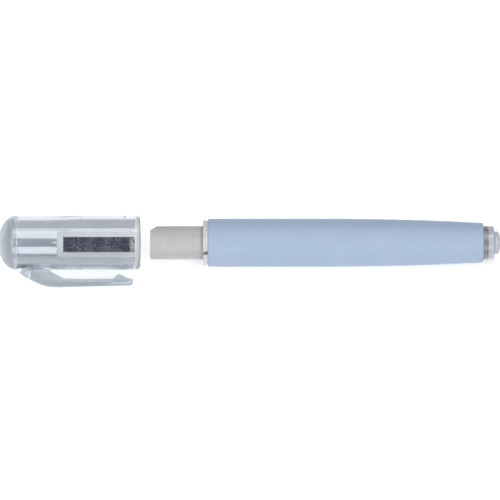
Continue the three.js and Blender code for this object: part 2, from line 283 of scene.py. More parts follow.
def revolve(profile, closed=False, sides=SIDES):
    """A bmesh of a profile of (x, radius) points turned about the X axis."""
    bm = bmesh.new()
    rings = []
    for x, radius in profile:
        if radius < 1e-6:
            rings.append([bm.verts.new((x, 0, 0))])
            continue
        ring = []
        for j in range(sides):
            angle = 2 * math.pi * j / sides
            ring.append(bm.verts.new((x, radius * math.sin(angle), radius * math.cos(angle))))
        rings.append(ring)
    pairs = list(zip(rings, rings[1:]))
    if closed:
        pairs.append((rings[-1], rings[0]))
    for one, two in pairs:
        for j in range(sides):
            k = (j + 1) % sides
            corners = [one[j % len(one)], one[k % len(one)], two[k % len(two)], two[j % len(two)]]
            kept = [v for n, v in enumerate(corners) if v not in corners[:n]]
            if len(kept) > 2:
                bm.faces.new(kept)
    bmesh.ops.recalc_face_normals(bm, faces=bm.faces)
    return bm


def extrude_outline(outline, half_width, bevel):
    """A bmesh of a closed outline in the X-Y plane, widened along Z, with rounded rims."""
    bm = bmesh.new()
    front = [bm.verts.new((x, y, half_width)) for x, y in outline]
    back = [bm.verts.new((x, y, -half_width)) for x, y in outline]
    rims = [bm.faces.new(front), bm.faces.new(list(reversed(back)))]
    for i in range(len(outline)):
        j = (i + 1) % len(outline)
        bm.faces.new((front[i], back[i], back[j], front[j]))
    bmesh.ops.recalc_face_normals(bm, faces=bm.faces)
    edges = [e for f in rims for e in f.edges]
    bmesh.ops.bevel(bm, geom=edges, offset=bevel, segments=3, affect="EDGES", profile=0.5)
    return bm


def slab(ends, half_width, low, high, corner, rim=0.0):
    """A box with rounded upright edges and a rounded upper rim, leaning with the pad's frame."""
    bm = bmesh.new()
    bmesh.ops.create_cube(bm, size=1.0)
    size = Matrix.Diagonal((ends[1] - ends[0], 2 * half_width, high - low, 1))
    place = Matrix.Translation(((ends[0] + ends[1]) / 2, 0, (low + high) / 2))
    bmesh.ops.transform(bm, matrix=place @ size, verts=bm.verts)
    upright = [e for e in bm.edges if abs(e.verts[0].co.z - e.verts[1].co.z) > 1e-6]
    bmesh.ops.bevel(bm, geom=upright, offset=corner, segments=6, affect="EDGES", profile=0.5)
    if rim > 0:
        top = [e for e in bm.edges if min(v.co.z for v in e.verts) > high - 1e-6]
        bmesh.ops.bevel(bm, geom=top, offset=rim, segments=3, affect="EDGES", profile=0.5)
    bmesh.ops.rotate(bm, verts=bm.verts, matrix=Matrix.Rotation(FRAME_LEAN, 3, "X"))
    return bm


def scratch(bm, name):
    """A temporary object holding a bmesh."""
    mesh = bpy.data.meshes.new(name)
    bm.to_mesh(mesh)
    bm.free()
    obj = bpy.data.objects.new(name, mesh)
    bpy.context.scene.collection.objects.link(obj)
    return obj


def combine(base, *steps):
    """A bmesh joined with or cut by others: each step is ("UNION" or "DIFFERENCE", bmesh)."""
    body = scratch(base, "base")
    tools = []
    for number, (operation, bm) in enumerate(steps):
        tool = scratch(bm, f"tool_{number}")
        modifier = body.modifiers.new(f"step_{number}", "BOOLEAN")
        modifier.operation = operation
        modifier.solver = "EXACT"
        modifier.object = tool
        tools.append(tool)
    bpy.context.view_layer.update()
    evaluated = body.evaluated_get(bpy.context.evaluated_depsgraph_get())
    result = bmesh.new()
    result.from_mesh(evaluated.to_mesh())
    evaluated.to_mesh_clear()
    for obj in [body, *tools]:
        mesh = obj.data
        bpy.data.objects.remove(obj)
        bpy.data.meshes.remove(mesh)
    bmesh.ops.remove_doubles(result, verts=result.verts, dist=1e-4)
    bmesh.ops.dissolve_degenerate(result, dist=1e-4, edges=result.edges)
    return result


def finished(name, bm, material, replaced=(), sharp=32):
    """A bmesh in the pen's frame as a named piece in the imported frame."""
    mesh = bpy.data.meshes.new(name)
    bm.to_mesh(mesh)
    bm.free()
    mesh.transform(PEN)
    mesh.shade_smooth()
    mesh.set_sharp_from_angle(angle=math.radians(sharp))
    mesh.materials.append(material)
    obj = bpy.data.objects.new(name, mesh)
    bpy.context.scene.collection.objects.link(obj)
    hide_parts(*replaced)
    return obj


# ---- Materials -----------------------------------------------------------------------------


def new_material(name):
    """A material with its Principled shader and its node tree."""
    material = bpy.data.materials.new(name)
    material.use_nodes = True
    tree = material.node_tree
    return material, tree, tree.nodes["Principled BSDF"]


def object_position(tree, stretch=(1, 1, 1)):
    """The point on the piece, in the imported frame's metres, stretched along each axis."""
    coordinates = tree.nodes.new("ShaderNodeTexCoord")
    mapping = tree.nodes.new("ShaderNodeMapping")
    mapping.inputs["Scale"].default_value = stretch
    tree.links.new(coordinates.outputs["Object"], mapping.inputs["Vector"])
    return mapping.outputs["Vector"]


def noise_texture(tree, position, scale, detail=4.0, roughness=0.55):
    """A noise texture's factor. Scale is in cycles a metre."""
    texture = tree.nodes.new("ShaderNodeTexNoise")
    texture.inputs["Scale"].default_value = scale
    texture.inputs["Detail"].default_value = detail
    texture.inputs["Roughness"].default_value = roughness
    tree.links.new(position, texture.inputs["Vector"])
    return texture.outputs["Fac"]


def ramp(tree, factor, *stops):
    """A colour ramp: each stop is (position, (r, g, b))."""
    node = tree.nodes.new("ShaderNodeValToRGB")
    elements = node.color_ramp.elements
    while len(elements) < len(stops):
        elements.new(0.5)
    for element, (position, colour) in zip(elements, stops):
        element.position = position
        element.color = (*colour, 1)
    tree.links.new(factor, node.inputs["Fac"])
    return node.outputs["Color"]


def between(tree, factor, low, high):
    """A factor of 0 to 1 spread between two numbers."""
    node = tree.nodes.new("ShaderNodeMapRange")
    node.inputs["To Min"].default_value = low
    node.inputs["To Max"].default_value = high
    tree.links.new(factor, node.inputs["Value"])
    return node.outputs["Result"]


def multiplied(tree, one, two):
    """Two colours multiplied together."""
    mix = tree.nodes.new("ShaderNodeMix")
    mix.data_type = "RGBA"
    mix.blend_type = "MULTIPLY"
    mix.inputs["Factor"].default_value = 1.0
    colours = [socket for socket in mix.inputs if socket.type == "RGBA"]
    tree.links.new(one, colours[0])
    tree.links.new(two, colours[1])
    return next(socket for socket in mix.outputs if socket.type == "RGBA")


def bump(tree, shader, height, strength, distance):
    """Roughens a shader's surface by a height. Distance is in metres."""
    node = tree.nodes.new("ShaderNodeBump")
    node.inputs["Strength"].default_value = strength
    node.inputs["Distance"].default_value = distance
    tree.links.new(height, node.inputs["Height"])
    tree.links.new(node.outputs["Normal"], shader.inputs["Normal"])


def passing(tree, direction, start, end):
    """A factor from 0 to 1 as a piece passes from one distance to another along a direction.

    Distances are in millimetres from the tip, and the direction is in the pen's frame."""
    dot = tree.nodes.new("ShaderNodeVectorMath")
    dot.operation = "DOT_PRODUCT"
    tree.links.new(object_position(tree), dot.inputs[0])
    dot.inputs[1].default_value = (PEN.to_3x3() @ Vector(direction)).normalized()
    node = tree.nodes.new("ShaderNodeMapRange")
    node.inputs["From Min"].default_value = start * MM
    node.inputs["From Max"].default_value = end * MM
    tree.links.new(dot.outputs["Value"], node.inputs["Value"])
    return node.outputs["Result"]


def larger(tree, one, two):
    """The larger of two numbers."""
    node = tree.nodes.new("ShaderNodeMath")
    node.operation = "MAXIMUM"
    tree.links.new(one, node.inputs[0])
    tree.links.new(two, node.inputs[1])
    return node.outputs["Value"]


def frosting(tree, haze, dome, mouth, frame):
    """Roughness of the clear pieces: polished, but frosted on the dome, the frame and the mouth."""
    polished = between(tree, haze, 0.0, 0.05)
    ends = larger(tree, between(tree, dome, 0.0, 0.42), between(tree, mouth, 0.0, 0.3))
    return larger(tree, polished, larger(tree, ends, between(tree, frame, 0.0, 0.4)))


def clear_plastic(name, lamp_share):
    """Clear styrene with a slight grey tint, faintly uneven as a moulding is.

    Each of its faces lets a share of the lamps' light through to what is behind it."""
    material, tree, shader = new_material(name)
    position = object_position(tree)
    waves = noise_texture(tree, position, 260, 2.0)
    haze = noise_texture(tree, position, 900, 5.0)
    dome = passing(tree, (1, 0, 0), *DOME_FROST)
    mouth = passing(tree, (1, 0, 0), *MOUTH_FROST)
    frame = passing(tree, (0, -math.sin(FRAME_LEAN), math.cos(FRAME_LEAN)), *FRAME_FROST)
    pale = larger(tree, between(tree, dome, 0.0, 0.8), larger(tree, mouth, frame))
    tint = ramp(tree, pale, (0.0, (0.68, 0.69, 0.725)), (1.0, (0.985, 0.985, 0.99)))
    uneven = ramp(tree, waves, (0.3, (0.96, 0.965, 0.97)), (0.7, (1.0, 1.0, 1.0)))
    tree.links.new(multiplied(tree, tint, uneven), shader.inputs["Base Color"])
    rough = frosting(tree, haze, dome, mouth, frame)
    tree.links.new(rough, shader.inputs["Roughness"])
    shader.inputs["Transmission Weight"].default_value = 1.0
    shader.inputs["IOR"].default_value = 1.59
    bump(tree, shader, waves, 0.12, 0.0002)
    clear = tree.nodes.new("ShaderNodeBsdfTransparent")
    clear.inputs["Color"].default_value = (lamp_share * 0.97, lamp_share, lamp_share, 1)
    path = tree.nodes.new("ShaderNodeLightPath")
    mix = tree.nodes.new("ShaderNodeMixShader")
    tree.links.new(path.outputs["Is Shadow Ray"], mix.inputs["Fac"])
    tree.links.new(shader.outputs["BSDF"], mix.inputs[1])
    tree.links.new(clear.outputs["BSDF"], mix.inputs[2])
    output = tree.nodes["Material Output"]
    tree.links.new(mix.outputs["Shader"], output.inputs["Surface"])
    depth = tree.nodes.new("ShaderNodeVolumeAbsorption")
    depth.inputs["Color"].default_value = (0.885, 0.90, 0.915, 1)
    depth.inputs["Density"].default_value = 400
    tree.links.new(depth.outputs["Volume"], output.inputs["Volume"])
    return material


def blue_plastic():
    """Opaque light blue moulded plastic with a fine satin texture."""
    material, tree, shader = new_material("blue_plastic")
    position = object_position(tree)
    cloud = noise_texture(tree, position, 120, 3.0)
    grain = noise_texture(tree, position, 5200, 3.0)
    colour = ramp(tree, cloud, (0.3, (0.300, 0.379, 0.500)), (0.7, (0.312, 0.392, 0.513)))
    tree.links.new(colour, shader.inputs["Base Color"])
    tree.links.new(between(tree, grain, 0.38, 0.5), shader.inputs["Roughness"])
    shader.inputs["Specular IOR Level"].default_value = 0.1
    bump(tree, shader, grain, 0.25, 0.00003)
    return material


def collet_plastic():
    """Translucent white plastic, slightly waxy."""
    material, tree, shader = new_material("collet_plastic")
    position = object_position(tree)
    cloud = noise_texture(tree, position, 700, 4.0)
    colour = ramp(tree, cloud, (0.3, (0.46, 0.47, 0.50)), (0.7, (0.55, 0.56, 0.59)))
    tree.links.new(colour, shader.inputs["Base Color"])
    tree.links.new(between(tree, cloud, 0.25, 0.45), shader.inputs["Roughness"])
    shader.inputs["Subsurface Weight"].default_value = 0.35
    shader.inputs["Subsurface Radius"].default_value = (0.0012, 0.0012, 0.0013)
    bump(tree, shader, cloud, 0.15, 0.00005)
    return material


def rod_stock():
    """The matt, fine-grained stick, with faint streaks along it and a painted shadow darkening it to a
    warm brown towards the collet.
    """
    material, tree, shader = new_material("rod_stock")
    position = object_position(tree)
    cloud = noise_texture(tree, position, 420, 5.0)
    grain = noise_texture(tree, position, 3800, 4.0)
    streaks = noise_texture(tree, object_position(tree, (60, 900, 900)), 1.0, 4.0)
    warm = ramp(tree, cloud, (0.3, (0.392, 0.379, 0.383)), (0.7, (0.422, 0.412, 0.415)))
    pale = ramp(tree, streaks, (0.35, (0.93, 0.93, 0.93)), (0.65, (1.0, 1.0, 1.0)))
    along = tree.nodes.new("ShaderNodeSeparateXYZ")
    tree.links.new(position, along.inputs["Vector"])
    # Painted shade: the rod darkens to a warm brown over its last stretch before the collet, standing
    # in for the collet's shadow on it.
    reach = tree.nodes.new("ShaderNodeMapRange")
    reach.inputs["From Min"].default_value = (COLLET_FRONT - ROD_SHADE_LENGTH) * MM
    reach.inputs["From Max"].default_value = COLLET_FRONT * MM
    tree.links.new(along.outputs["X"], reach.inputs["Value"])
    dust_and_painted_shade = ramp(tree, reach.outputs["Result"], (0.0, (1, 1, 1)), (0.8, (0.86, 0.82, 0.78)))
    colour = multiplied(tree, multiplied(tree, warm, pale), dust_and_painted_shade)
    tree.links.new(colour, shader.inputs["Base Color"])
    tree.links.new(between(tree, grain, 0.62, 0.85), shader.inputs["Roughness"])
    bump(tree, shader, grain, 0.4, 0.00004)
    return material


def felt_nap():
    """Dark speckled felt."""
    material, tree, shader = new_material("felt_nap")
    position = object_position(tree)
    flecks = noise_texture(tree, position, 2600, 4.0, 0.8)
    patches = noise_texture(tree, position, 350, 3.0)
    dark = ramp(
        tree,
        flecks,
        (0.38, (0.009, 0.013, 0.026)),
        (0.50, (0.028, 0.034, 0.056)),
        (0.64, (0.15, 0.158, 0.190)),
    )
    shade = ramp(tree, patches, (0.36, (0.55, 0.60, 0.72)), (0.64, (1.5, 1.42, 1.32)))
    tree.links.new(multiplied(tree, dark, shade), shader.inputs["Base Color"])
    shader.inputs["Roughness"].default_value = 0.95
    shader.inputs["Sheen Weight"].default_value = 0.15
    shader.inputs["Sheen Roughness"].default_value = 0.6
    bump(tree, shader, flecks, 0.5, 0.00012)
    return material


def felt_backing():
    """The pale woven backing, stained with dark dust at the nap's edge."""
    material, tree, shader = new_material("felt_backing")
    position = object_position(tree)
    flecks = noise_texture(tree, position, 3000, 3.0, 0.7)
    dirt = noise_texture(tree, position, 2400, 3.0, 0.7)
    weave = ramp(tree, flecks, (0.35, (0.20, 0.21, 0.21)), (0.65, (0.52, 0.52, 0.50)))
    # Random dark dust stains on the backing.
    dust_and_painted_shade = ramp(tree, dirt, (0.42, (0.18, 0.2, 0.22)), (0.56, (1.0, 1.0, 1.0)))
    tree.links.new(multiplied(tree, weave, dust_and_painted_shade), shader.inputs["Base Color"])
    shader.inputs["Roughness"].default_value = 0.9
    bump(tree, shader, flecks, 0.5, 0.0001)
    return material


def smoke_plastic():
    """The smoky, half clear button, mottled inside: dark beside the barrel and pale at its rear."""
    material, tree, shader = new_material("smoke_plastic")
    position = object_position(tree)
    mottle = noise_texture(tree, position, 1500, 4.0)
    rear = passing(tree, (1, 0, 0), *BUTTON_BAND)
    band = ramp(
        tree,
        rear,
        (0.0, (0.33, 0.34, 0.37)),
        (0.5, (0.22, 0.20, 0.20)),
        (1.0, (0.66, 0.69, 0.76)),
    )
    shade = ramp(tree, mottle, (0.38, (0.66, 0.67, 0.69)), (0.62, (1.0, 1.0, 1.0)))
    tree.links.new(multiplied(tree, band, shade), shader.inputs["Base Color"])
    tree.links.new(between(tree, mottle, 0.15, 0.3), shader.inputs["Roughness"])
    shader.inputs["Transmission Weight"].default_value = 0.38
    shader.inputs["IOR"].default_value = 1.5
    bump(tree, shader, mottle, 0.2, 0.0001)
    return material


def plug_plastic():
    """The pale, slightly cloudy plug."""
    material, tree, shader = new_material("plug_plastic")
    cloud = noise_texture(tree, object_position(tree), 600, 4.0)
    colour = ramp(tree, cloud, (0.3, (0.36, 0.375, 0.41)), (0.7, (0.45, 0.465, 0.505)))
    tree.links.new(colour, shader.inputs["Base Color"])
    tree.links.new(between(tree, cloud, 0.25, 0.4), shader.inputs["Roughness"])
    shader.inputs["Subsurface Weight"].default_value = 0.3
    shader.inputs["Subsurface Radius"].default_value = (0.001, 0.001, 0.0011)
    bump(tree, shader, cloud, 0.15, 0.00006)
    return material


def bush_plastic():
    """Natural white engineering plastic."""
    material, tree, shader = new_material("bush_plastic")
    cloud = noise_texture(tree, object_position(tree), 900, 4.0)
    colour = ramp(tree, cloud, (0.3, (0.68, 0.68, 0.66)), (0.7, (0.76, 0.76, 0.74)))
    tree.links.new(colour, shader.inputs["Base Color"])
    tree.links.new(between(tree, cloud, 0.4, 0.55), shader.inputs["Roughness"])
    bump(tree, shader, cloud, 0.2, 0.00005)
    return material


def spring_wire():
    """Drawn steel wire."""
    material, tree, shader = new_material("spring_wire")
    marks = noise_texture(tree, object_position(tree), 4000, 4.0)
    colour = ramp(tree, marks, (0.3, (0.50, 0.50, 0.52)), (0.7, (0.62, 0.62, 0.64)))
    tree.links.new(colour, shader.inputs["Base Color"])
    shader.inputs["Metallic"].default_value = 1.0
    tree.links.new(between(tree, marks, 0.22, 0.38), shader.inputs["Roughness"])
    bump(tree, shader, marks, 0.15, 0.00003)
    return material


def floor_paper():
    """White paper on a faintly lit table, so shadows beside the pen stay pale."""
    material, tree, shader = new_material("floor_paper")
    fibres = noise_texture(tree, object_position(tree), 900, 4.0)
    colour = ramp(tree, fibres, (0.3, (0.90, 0.90, 0.90)), (0.7, (0.93, 0.93, 0.93)))
    tree.links.new(colour, shader.inputs["Base Color"])
    shader.inputs["Roughness"].default_value = 0.9
    shader.inputs["Specular IOR Level"].default_value = 0.1
    shader.inputs["Emission Color"].default_value = (1, 1, 1, 1)
    shader.inputs["Emission Strength"].default_value = 0.25
    return material


# ---- Cap -----------------------------------------------------------------------------------


def dome_arc(steps=18):
    """The rounded shoulder of the cap's closed end, from its flat to its full radius."""
    start = math.acos(CAP_DOME_BACK / CAP_DOME_RADIUS)
    end = math.asin((CAP_RADIUS - CAP_DRAFT - CAP_DOME_UP) / CAP_DOME_RADIUS)
    points = []
    for i in range(steps + 1):
        angle = start + (end - start) * i / steps
        x = CAP_END + CAP_DOME_BACK - CAP_DOME_RADIUS * math.cos(angle)
        points.append((x, CAP_DOME_UP + CAP_DOME_RADIUS * math.sin(angle)))
    return points


def cap_outside():
    """The cap's outer body, solid."""
    arc = dome_arc()
    flat = arc[0][1]
    length, depth = MOUTH_BEVEL
    profile = [Vector((CAP_END, 0)), Vector((CAP_END, flat - 0.3))]
    profile += [Vector(p) for p in arc[:-1]]
    profile += rounded(
        [
            (*arc[-1], 0),
            (arc[-1][0] + 0.3, CAP_RADIUS - CAP_DRAFT, 0),
            (CAP_MOUTH - length, CAP_RADIUS, 0.35),
            (CAP_MOUTH, CAP_RADIUS - depth, 0.1),
            (CAP_MOUTH, 0, 0),
        ]
    )
    return revolve(profile)


def flare(steps=16):
    """The bore's smooth widening, from the chamber to the small step at the wide bore."""
    points = []
    for i in range(steps + 1):
        t = i / steps
        rise = t * t * (3 - 2 * t)
        x = FLARE_START + (FLARE_END - FLARE_START) * t
        points.append(Vector((x, CHAMBER_BORE + (CAP_BORE - BORE_STEP - CHAMBER_BORE) * rise)))
    return points


def cap_inside():
    """The space inside the cap: the rod's chamber, the flare, the wide bore and its bead."""
    beyond = CAP_MOUTH + 1
    chamber = rounded(
        [
            (CHAMBER_END, 0, 0),
            (CHAMBER_END, CHAMBER_BORE, CHAMBER_CORNER),
            (FLARE_START, CHAMBER_BORE, 0),
        ]
    )
    socket = rounded(
        [
            (FLARE_END, CAP_BORE - BORE_STEP, 0),
            (FLARE_END + 0.15, CAP_BORE, 0.05),
            (BEAD_CENTRE - BEAD_LENGTH, CAP_BORE, 0.1),
            (BEAD_CENTRE, CAP_BORE - BEAD_HEIGHT, 0.3),
            (BEAD_CENTRE + BEAD_LENGTH, CAP_BORE, 0.1),
            (CAP_MOUTH - 0.1, CAP_BORE, 0.1),
            (CAP_MOUTH, CAP_BORE + MOUTH_LEAD_IN, 0),
            (beyond, CAP_BORE + MOUTH_LEAD_IN, 0),
            (beyond, 0, 0),
        ]
    )
    return revolve([*chamber[:-1], *flare(), *socket[1:]])


def clip_wedge():
    """The wedge on the dome, in front of the clip's strap."""
    outline = [(-40.35, -8.05), (-36.95, -10.85), (-36.2, CLIP_ROOT), (-40.1, CLIP_ROOT)]
    return extrude_outline(outline, WEDGE_HALF_WIDTH, 0.18)


def make_cap(material):
    """The clear cap, with the pad's frame and pocket, and the wedge at the clip's root."""
    frame_block = slab(FRAME_ENDS, FRAME_HALF_WIDTH, CAP_BORE / 2, FRAME_TOP, 0.7, 0.16)
    pocket = slab(POCKET_ENDS, POCKET_HALF_WIDTH, POCKET_FLOOR, FRAME_TOP + 1, 0.12)
    bm = combine(
        cap_outside(),
        ("UNION", frame_block),
        ("UNION", clip_wedge()),
        ("DIFFERENCE", cap_inside()),
        ("DIFFERENCE", pocket),
    )
    cap = finished("cap_moulding", bm, material, ["cap_shell"])
    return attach(cap, "cap")


def strap_outline():
    """The clip's strap in profile: out of the cap, along the arm, round the hook and back."""
    points = [(-36.6, CLIP_ROOT), (-36.45, -10.75)]
    points += bezier(points[-1], (-32.2, CLIP_OUTSIDE), (-28.6, CLIP_OUTSIDE), 14)
    fall = (CLIP_TIP_OUTSIDE - CLIP_OUTSIDE) / 21
    points += [(x / 2, CLIP_OUTSIDE + fall * (x / 2 + 28)) for x in range(-56, -13)]
    tip = (CLIP_END, -12.0)
    points += bezier(points[-1], (CLIP_END, points[-1][1]), tip, 6)
    points += [(CLIP_END, -11.5)]
    points += bezier(points[-1], (CLIP_END, CLIP_RIB), (-6.0, CLIP_RIB), 5)
    points += [(-6.6, CLIP_RIB), (-9.25, CLIP_HOOK[1] - 0.08)]
    points += bezier(points[-1], CLIP_HOOK, (-9.65, CLIP_HOOK[1] - 0.15), 3)
    points += [(-11.1, -10.55), (-11.3, CLIP_INSIDE)]
    points += [(x / 2, CLIP_INSIDE) for x in range(-24, -58, -1)]
    points += bezier((-28.7, CLIP_INSIDE), (-32.4, -11.1), (-35.9, CLIP_ROOT), 14)
    return points


def rib_outline():
    """The gusset at the clip's root, running on into the rib along the inside of its arm."""
    points = [(-36.2, CLIP_ROOT)]
    points += bezier(points[0], (-32.4, -11.7), (-28.7, -11.8), 10)
    points += [(x / 2, -11.8) for x in range(-57, -22)]
    points += [(-11.3, CLIP_RIB)]
    points += [(x / 2, CLIP_RIB) for x in range(-24, -51, -1)]
    points += bezier((-25.5, CLIP_RIB), (-25.9, CLIP_RIB), (-26.6, -10.4), 4)
    points += [(-28.4, -9.4), (-30.2, -8.4), (-30.2, CLIP_ROOT)]
    return points


def make_clip(material):
    """The clip: strap, rib and gusset in one, cut to the cap's side."""
    cap_side = revolve(
        [(-60, 0), (-60, CAP_RADIUS + 0.01), (0, CAP_RADIUS + 0.01), (0, 0)], sides=SIDES
    )
    bm = combine(
        extrude_outline(strap_outline(), CLIP_HALF_WIDTH, 0.22),
        ("UNION", extrude_outline(rib_outline(), RIB_HALF_WIDTH, 0.12)),
        ("DIFFERENCE", cap_side),
    )
    clip = finished("clip_moulding", bm, material, ["pocket_clip"])
    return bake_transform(clip)


def make_backing(material):
    """The woven backing of the strip, in the bottom of its pocket."""
    bm = slab(BACKING_ENDS, STRIP_HALF_WIDTH, POCKET_FLOOR + FIT, BACKING_TOP, 0.1, 0.04)
    backing = finished("strip_backing", bm, material, ["pad_backing"])
    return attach(backing, "cap")


def nap_block(dice):
    """The body of the nap, with an uneven top and a frayed end."""
    rows, columns = 24, 110
    low, high = NAP_ENDS
    bm = bmesh.new()
    grid = []
    for i in range(columns + 1):
        line = []
        for j in range(rows + 1):
            x = low + (high - low) * i / columns
            y = NAP_HALF_WIDTH * (2 * j / rows - 1)
            if i == columns:
                x -= dice.uniform(0.0, 0.35)
            edge = i in (0, columns) or j in (0, rows)
            height = NAP_TOP - 0.14 - (0.05 if edge else 0) + dice.uniform(-0.05, 0.05)
            line.append(bm.verts.new((x, y, height)))
        grid.append(line)
    for i in range(columns):
        for j in range(rows):
            bm.faces.new((grid[i][j], grid[i + 1][j], grid[i + 1][j + 1], grid[i][j + 1]))
    rim = [e for e in bm.edges if e.is_boundary]
    lowered = bmesh.ops.extrude_edge_only(bm, edges=rim)["geom"]
    bottom = [v for v in lowered if isinstance(v, bmesh.types.BMVert)]
    for v in bottom:
        v.co.z = NAP_BASE
    bmesh.ops.holes_fill(bm, edges=[e for e in bm.edges if e.is_boundary])
    bmesh.ops.recalc_face_normals(bm, faces=bm.faces)
    return bm


def add_fibre(bm, root, tip, size, turn):
    """One short fibre: a thin three-sided spike."""
    corners = []
    for k in range(3):
        angle = turn + 2 * math.pi * k / 3
        offset = Vector((size * math.cos(angle), size * math.sin(angle), 0))
        corners.append(bm.verts.new(root + offset))
    top = bm.verts.new(tip)
    bm.faces.new(reversed(corners))
    for k in range(3):
        bm.faces.new((corners[k], corners[(k + 1) % 3], top))


def make_nap(material):
    """The dark nap: a felted block with short fibres standing out of it."""
    dice = random.Random(NAP_SEED)
    bm = nap_block(dice)
    low, high = NAP_ENDS
    for _ in range(NAP_FIBRES):
        x = dice.uniform(low + 0.05, high - 0.1)
        y = dice.uniform(-0.97, 0.97) * NAP_HALF_WIDTH
        root = Vector((x, y, NAP_TOP - 0.22))
        lean = Vector((dice.uniform(-0.12, 0.12), dice.uniform(-0.08, 0.08), 0))
        tip = root + lean + Vector((0, 0, dice.uniform(0.1, 0.2)))
        add_fibre(bm, root, tip, dice.uniform(0.012, 0.03), dice.uniform(0, 6.28))
    bmesh.ops.rotate(bm, verts=bm.verts, matrix=Matrix.Rotation(FRAME_LEAN, 3, "X"))
    nap = finished("strip_nap", bm, material, ["dressing_pad"])
    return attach(nap, "cap")


# ---- Barrel --------------------------------------------------------------------------------


def taper_radius(x):
    """The barrel's outer radius behind the point where it starts to taper."""
    share = (x - BARREL_TAPER_START) / (BARREL_REAR - BARREL_TAPER_START)
    return BARREL_RADIUS - (BARREL_RADIUS - BARREL_REAR_RADIUS) * share**BARREL_TAPER_POWER


def head_radius(x):
    """Radius of the collet's conical head at x."""
    return HEAD_RADIUS - (x - COLLET_FRONT) * HEAD_SLOPE


def barrel_profile():
    """The barrel's outside to the rear, then its bore back to the mouth."""
    steps = 40
    length = BARREL_REAR - BARREL_TAPER_START
    taper = []
    for i in range(steps):
        x = BARREL_TAPER_START + length * i / steps
        taper.append((x, taper_radius(x), 0))
    seat_end = COLLET_FRONT + (HEAD_RADIUS + FIT - BARREL_BORE) / HEAD_SLOPE
    corners = [
        (BARREL_FRONT, BARREL_RADIUS - 0.3, 0.08),
        (BARREL_FRONT + 0.4, BARREL_RADIUS, 0.25),
        *taper,
        (BARREL_REAR, BARREL_REAR_RADIUS, 0.4),
        (BARREL_REAR, BARREL_REAR_BORE, 0.1),
        (BARREL_SHOULDER, BARREL_REAR_BORE, 0.05),
        (BARREL_SHOULDER, BARREL_BORE, 0.05),
        (seat_end, BARREL_BORE, 0.2),
        (BARREL_FRONT, head_radius(BARREL_FRONT) + FIT, 0.06),
    ]
    return rounded(corners, closed=True)


def make_barrel(material):
    """The blue barrel."""
    bm = revolve(barrel_profile(), closed=True, sides=160)
    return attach(finished("barrel_tube", bm, material, ["barrel"]), "barrel")


def make_bush(material):
    """The bush that guides the stem."""
    front, rear = BUSH_ENDS
    corners = [
        (front, STEM_RADIUS + FIT, 0.15),
        (front, TUBE_RADIUS, 0.2),
        (rear, TUBE_RADIUS, 0.2),
        (rear, STEM_RADIUS + FIT, 0.15),
    ]
    bm = revolve(rounded(corners, closed=True), closed=True, sides=96)
    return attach(finished("stem_bush", bm, material, ["rear_bush"]), "barrel")


def make_spring(material):
    """The return spring. Its front end stays on the bush, and it is carried with the barrel."""
    bm = bmesh.new()
    margin = SPRING_WIRE + FIT
    start = BARREL_SHOULDER + margin
    end = BUTTON_FRONT - margin
    around, per_turn = 12, 40
    steps = SPRING_TURNS * per_turn
    rings = []
    for i in range(steps + 1):
        share = i / steps
        angle = 2 * math.pi * SPRING_TURNS * share
        out = Vector((0, math.cos(angle), math.sin(angle)))
        centre = Vector((start + (end - start) * share, 0, 0)) + out * SPRING_RADIUS
        ring = []
        for k in range(around):
            turn = 2 * math.pi * k / around
            offset = (out * math.cos(turn) + Vector((math.sin(turn), 0, 0))) * SPRING_WIRE
            ring.append(bm.verts.new(centre + offset))
        rings.append(ring)
    for one, two in zip(rings, rings[1:]):
        for k in range(around):
            m = (k + 1) % around
            bm.faces.new((one[k], one[m], two[m], two[k]))
    bm.faces.new(rings[0])
    bm.faces.new(reversed(rings[-1]))
    bmesh.ops.recalc_face_normals(bm, faces=bm.faces)
    spring = finished("coil_spring", bm, material, ["return_spring"], sharp=60)
    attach(spring, "barrel")
    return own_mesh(spring)


# ---- Chuck and rod -------------------------------------------------------------------------


def jaw_profile():
    """A finger in section: its conical head, its thin shank, and the grip inside."""
    head_end = COLLET_FRONT + (HEAD_RADIUS - FINGER_RADIUS) / HEAD_SLOPE
    corners = [
        (COLLET_FRONT, GRIP_RADIUS, 0.18),
        (COLLET_FRONT, HEAD_RADIUS, 0.16),
        (head_end, FINGER_RADIUS, 0.6),
        (FINGER_ROOT, FINGER_RADIUS, 0.06),
        (FINGER_ROOT, GRIP_RADIUS, 0.06),
    ]
    return rounded(corners, closed=True)


def make_jaw(number, material):
    """One finger of the collet: a third of a sleeve, less half a slit on each side."""
    middle = math.radians(SLIT_ANGLE + (number - 0.5) * 360 / JAWS)
    half = math.pi / JAWS
    steps = 36
    bm = bmesh.new()
    columns = []
    for j in range(steps + 1):
        column = []
        for x, radius in jaw_profile():
            limit = half - math.asin(SLIT / 2 / radius)
            angle = middle + limit * (2 * j / steps - 1)
            column.append(bm.verts.new((x, radius * math.sin(angle), radius * math.cos(angle))))
        columns.append(column)
    count = len(columns[0])
    for one, two in zip(columns, columns[1:]):
        for k in range(count):
            m = (k + 1) % count
            bm.faces.new((one[k], one[m], two[m], two[k]))
    sides = [bm.faces.new(columns[0]), bm.faces.new(list(reversed(columns[-1])))]
    bmesh.ops.recalc_face_normals(bm, faces=bm.faces)
    rims = [e for f in sides for e in f.edges]
    bmesh.ops.bevel(bm, geom=rims, offset=0.05, segments=2, affect="EDGES", profile=0.5)
    jaw = finished(f"collet_finger_{number}", bm, material, [f"jaw_{number}"])
    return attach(jaw, f"jaw_{number}")


